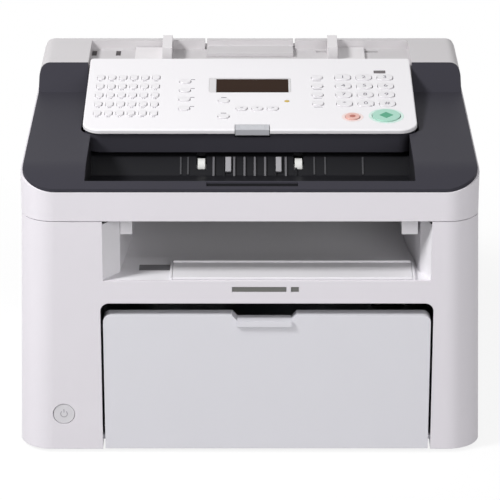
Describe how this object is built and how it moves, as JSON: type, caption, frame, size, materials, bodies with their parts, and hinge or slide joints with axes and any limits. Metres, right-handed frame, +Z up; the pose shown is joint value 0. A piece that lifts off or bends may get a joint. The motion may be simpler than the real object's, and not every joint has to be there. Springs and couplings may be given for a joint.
{
  "type": "fax machine",
  "caption": "Compact laser fax with a front paper tray and delivery slot, a lift-up document scanner top and a sloped, hinged operation panel with keys and a display.",
  "frame": {"origin": "on the floor below the middle of the bounding box", "axes": "+X to the right as seen by a user in front, +Y to the back, +Z up"},
  "size_m": [0.3768, 0.324, 0.2632],
  "materials": {
    "white_plastic": "fine satin texture",
    "light_grey_plastic": "satin",
    "panel_plastic": "satin",
    "deck_plastic": "satin",
    "dark_plastic": "fine matt texture",
    "latch_plastic": "satin",
    "green_plastic": "satin",
    "red_plastic": "satin",
    "display": "gloss",
    "steel": "zinc plated",
    "roller_rubber": "matt",
    "drum_coat": "gloss coat",
    "white_wheels": "satin",
    "gear_plastic": "satin",
    "engine_plastic": "matt",
    "circuit_board": "satin",
    "socket_plastic": "matt"
  },
  "bodies": {
    "case": {"base_pan": "steel", "chassis_frame": "steel", "front_fascia": "white_plastic", "rear_case": "white_plastic", "output_tray": "light_grey_plastic", "toner_cartridge": "engine_plastic", "laser_unit": "engine_plastic", "fuser_housing": "engine_plastic", "circuit_boards": "circuit_board", "drive_motor": "steel", "rear_sockets": "socket_plastic", "rubber_feet": "roller_rubber", "case_screws": "steel", "lift_springs": "steel"},
    "scanner_top": {"top_band": "white_plastic", "top_cover": "dark_plastic", "rear_deck": "deck_plastic", "document_chute": "dark_plastic", "image_sensor": "engine_plastic"},
    "panel": {"panel_cover": "panel_plastic", "panel_base": "dark_plastic", "lcd_window": "display", "panel_board": "circuit_board"},
    "tray_cover": {"tray_cover": "white_plastic"},
    "output_extension": {"output_extension": "light_grey_plastic"},
    "power_button": {"power_button": "light_grey_plastic"},
    "lift_plate": {"lift_plate": "steel"},
    "left_paper_guide": {"left_paper_guide": "engine_plastic"},
    "right_paper_guide": {"right_paper_guide": "engine_plastic"},
    "pickup_roller": {"pickup_roller": "roller_rubber"},
    "transfer_roller": {"transfer_roller": "roller_rubber"},
    "photo_drum": {"photo_drum": "drum_coat"},
    "pressure_roller": {"pressure_roller": "roller_rubber"},
    "exit_roller": {"exit_roller": "roller_rubber"},
    "idler_gear": {"idler_gear": "gear_plastic"},
    "motor_pinion": {"motor_pinion": "gear_plastic"},
    "feed_roller": {"feed_roller": "roller_rubber"},
    "document_exit_roller": {"document_exit_roller": "white_wheels"},
    "left_document_guide": {"left_document_guide": "deck_plastic"},
    "right_document_guide": {"right_document_guide": "deck_plastic"},
    "guide_pinion": {"guide_pinion": "gear_plastic"},
    "document_support": {"document_support": "deck_plastic"},
    "panel_latch": {"panel_latch": "latch_plastic"},
    "one_touch_keys": {"one_touch_keys": "panel_plastic"},
    "function_keys": {"function_keys": "panel_plastic"},
    "stop_key": {"stop_key": "red_plastic"},
    "start_key": {"start_key": "green_plastic"},
    "number_key_0": {"number_key_0": "panel_plastic"},
    "number_key_1": {"number_key_1": "panel_plastic"},
    "number_key_2": {"number_key_2": "panel_plastic"},
    "number_key_3": {"number_key_3": "panel_plastic"},
    "number_key_4": {"number_key_4": "panel_plastic"},
    "number_key_5": {"number_key_5": "panel_plastic"},
    "number_key_6": {"number_key_6": "panel_plastic"},
    "number_key_7": {"number_key_7": "panel_plastic"},
    "number_key_8": {"number_key_8": "panel_plastic"},
    "number_key_9": {"number_key_9": "panel_plastic"},
    "number_key_star": {"number_key_star": "panel_plastic"},
    "number_key_hash": {"number_key_hash": "panel_plastic"}
  },
  "joints": [
    {"name": "tray_cover_hinge", "type": "hinge", "parent": "case", "child": "tray_cover", "pos_m": [0.0136, -0.153, 0.0115], "axis": [1, 0, 0], "range_deg": [0, 90]},
    {"name": "extension_slide", "type": "slide", "parent": "case", "child": "output_extension", "axis": [0, -1, 0], "range_m": [0, 0.028]},
    {"name": "power_press", "type": "slide", "parent": "case", "child": "power_button", "axis": [0, 1, 0], "range_m": [0, 0.002], "stiffness_N_per_m": 300, "springref_m": -0.001},
    {"name": "lift_hinge", "type": "hinge", "parent": "case", "child": "lift_plate", "pos_m": [0.0136, -0.13, 0.014], "axis": [1, 0, 0], "range_deg": [0, 6], "deforming": ["lift_springs"]},
    {"name": "left_guide_slide", "type": "slide", "parent": "lift_plate", "child": "left_paper_guide", "axis": [1, 0, 0], "range_m": [0, 0.05]},
    {"name": "right_guide_slide", "type": "slide", "parent": "lift_plate", "child": "right_paper_guide", "axis": [-1, 0, 0], "range_m": [0, 0.05]},
    {"name": "pickup_roller_spin", "type": "hinge", "parent": "case", "child": "pickup_roller", "pos_m": [0.0136, 0.062, 0.056], "axis": [1, 0, 0], "continuous": true},
    {"name": "transfer_roller_spin", "type": "hinge", "parent": "case", "child": "transfer_roller", "pos_m": [0.0136, 0.06, 0.1327], "axis": [1, 0, 0], "continuous": true},
    {"name": "photo_drum_spin", "type": "hinge", "parent": "case", "child": "photo_drum", "pos_m": [0.0136, 0.06, 0.152], "axis": [1, 0, 0], "continuous": true},
    {"name": "pressure_roller_spin", "type": "hinge", "parent": "case", "child": "pressure_roller", "pos_m": [0.0136, -0.005, 0.15], "axis": [1, 0, 0], "continuous": true},
    {"name": "exit_roller_spin", "type": "hinge", "parent": "case", "child": "exit_roller", "pos_m": [0.0136, -0.02798, 0.16928], "axis": [1, 0, 0], "continuous": true},
    {"name": "idler_gear_spin", "type": "hinge", "parent": "case", "child": "idler_gear", "pos_m": [0.0136, 0.02638, 0.12209], "axis": [1, 0, 0], "continuous": true},
    {"name": "motor_pinion_spin", "type": "hinge", "parent": "case", "child": "motor_pinion", "pos_m": [0.0136, 0.03211, 0.08959], "axis": [1, 0, 0], "continuous": true},
    {"name": "top_hinge", "type": "hinge", "parent": "case", "child": "scanner_top", "pos_m": [0.0136, 0.155, 0.205], "axis": [-1, 0, 0], "range_deg": [0, 50]},
    {"name": "feed_roller_spin", "type": "hinge", "parent": "scanner_top", "child": "feed_roller", "pos_m": [0, 0.03, 0.21933], "axis": [1, 0, 0], "continuous": true},
    {"name": "document_exit_roller_spin", "type": "hinge", "parent": "scanner_top", "child": "document_exit_roller", "pos_m": [0, -0.053, 0.2096], "axis": [1, 0, 0], "continuous": true},
    {"name": "left_document_slide", "type": "slide", "parent": "scanner_top", "child": "left_document_guide", "axis": [-1, 0, 0], "range_m": [-0.01, 0.036]},
    {"name": "right_document_slide", "type": "slide", "parent": "scanner_top", "child": "right_document_guide", "axis": [1, 0, 0], "range_m": [-0.01, 0.036]},
    {"name": "guide_pinion_spin", "type": "hinge", "parent": "scanner_top", "child": "guide_pinion", "pos_m": [0, 0.122, 0.245], "axis": [0, 0, 1], "range_deg": [-265, 80]},
    {"name": "support_hinge", "type": "hinge", "parent": "scanner_top", "child": "document_support", "pos_m": [0, 0.144, 0.253], "axis": [-1, 0, 0], "range_deg": [0, 90]},
    {"name": "panel_hinge", "type": "hinge", "parent": "scanner_top", "child": "panel", "pos_m": [0, 0.08481, 0.25213], "axis": [-1, 0, 0], "range_deg": [0, 55]},
    {"name": "latch_hinge", "type": "hinge", "parent": "panel", "child": "panel_latch", "pos_m": [0.0019, -0.04879, 0.24134], "axis": [1, 0, 0], "range_deg": [0, 10], "stiffness_Nm_per_rad": 0.08, "springref_deg": -5.73},
    {"name": "one_touch_keys_press", "type": "slide", "parent": "panel", "child": "one_touch_keys", "axis": [0, 0.1028, -0.9947], "range_m": [0, 0.0008], "stiffness_N_per_m": 250, "springref_m": -0.0008},
    {"name": "function_keys_press", "type": "slide", "parent": "panel", "child": "function_keys", "axis": [0, 0.1028, -0.9947], "range_m": [0, 0.0008], "stiffness_N_per_m": 250, "springref_m": -0.0008},
    {"name": "stop_key_press", "type": "slide", "parent": "panel", "child": "stop_key", "axis": [0, 0.1028, -0.9947], "range_m": [0, 0.0008], "stiffness_N_per_m": 250, "springref_m": -0.0008},
    {"name": "start_key_press", "type": "slide", "parent": "panel", "child": "start_key", "axis": [0, 0.1028, -0.9947], "range_m": [0, 0.0008], "stiffness_N_per_m": 250, "springref_m": -0.0008},
    {"name": "number_key_0_press", "type": "slide", "parent": "panel", "child": "number_key_0", "axis": [0, 0.1028, -0.9947], "range_m": [0, 0.0008], "stiffness_N_per_m": 250, "springref_m": -0.0008},
    {"name": "number_key_1_press", "type": "slide", "parent": "panel", "child": "number_key_1", "axis": [0, 0.1028, -0.9947], "range_m": [0, 0.0008], "stiffness_N_per_m": 250, "springref_m": -0.0008},
    {"name": "number_key_2_press", "type": "slide", "parent": "panel", "child": "number_key_2", "axis": [0, 0.1028, -0.9947], "range_m": [0, 0.0008], "stiffness_N_per_m": 250, "springref_m": -0.0008},
    {"name": "number_key_3_press", "type": "slide", "parent": "panel", "child": "number_key_3", "axis": [0, 0.1028, -0.9947], "range_m": [0, 0.0008], "stiffness_N_per_m": 250, "springref_m": -0.0008},
    {"name": "number_key_4_press", "type": "slide", "parent": "panel", "child": "number_key_4", "axis": [0, 0.1028, -0.9947], "range_m": [0, 0.0008], "stiffness_N_per_m": 250, "springref_m": -0.0008},
    {"name": "number_key_5_press", "type": "slide", "parent": "panel", "child": "number_key_5", "axis": [0, 0.1028, -0.9947], "range_m": [0, 0.0008], "stiffness_N_per_m": 250, "springref_m": -0.0008},
    {"name": "number_key_6_press", "type": "slide", "parent": "panel", "child": "number_key_6", "axis": [0, 0.1028, -0.9947], "range_m": [0, 0.0008], "stiffness_N_per_m": 250, "springref_m": -0.0008},
    {"name": "number_key_7_press", "type": "slide", "parent": "panel", "child": "number_key_7", "axis": [0, 0.1028, -0.9947], "range_m": [0, 0.0008], "stiffness_N_per_m": 250, "springref_m": -0.0008},
    {"name": "number_key_8_press", "type": "slide", "parent": "panel", "child": "number_key_8", "axis": [0, 0.1028, -0.9947], "range_m": [0, 0.0008], "stiffness_N_per_m": 250, "springref_m": -0.0008},
    {"name": "number_key_9_press", "type": "slide", "parent": "panel", "child": "number_key_9", "axis": [0, 0.1028, -0.9947], "range_m": [0, 0.0008], "stiffness_N_per_m": 250, "springref_m": -0.0008},
    {"name": "number_key_star_press", "type": "slide", "parent": "panel", "child": "number_key_star", "axis": [0, 0.1028, -0.9947], "range_m": [0, 0.0008], "stiffness_N_per_m": 250, "springref_m": -0.0008},
    {"name": "number_key_hash_press", "type": "slide", "parent": "panel", "child": "number_key_hash", "axis": [0, 0.1028, -0.9947], "range_m": [0, 0.0008], "stiffness_N_per_m": 250, "springref_m": -0.0008}
  ],
  "couplings": [
    {"joint": "right_guide_slide", "follows": "left_guide_slide", "ratio": 1},
    {"joint": "idler_gear_spin", "follows": "photo_drum_spin", "ratio": -0.875},
    {"joint": "pressure_roller_spin", "follows": "photo_drum_spin", "ratio": 1.1667},
    {"joint": "motor_pinion_spin", "follows": "photo_drum_spin", "ratio": 2.3333},
    {"joint": "exit_roller_spin", "follows": "photo_drum_spin", "ratio": -1.75},
    {"joint": "transfer_roller_spin", "follows": "photo_drum_spin", "ratio": -1.7143},
    {"joint": "document_exit_roller_spin", "follows": "feed_roller_spin", "ratio": 1.3043},
    {"joint": "right_document_slide", "follows": "left_document_slide", "ratio": 1},
    {"joint": "guide_pinion_spin", "follows": "left_document_slide", "rad_per_m": -125}
  ]
}
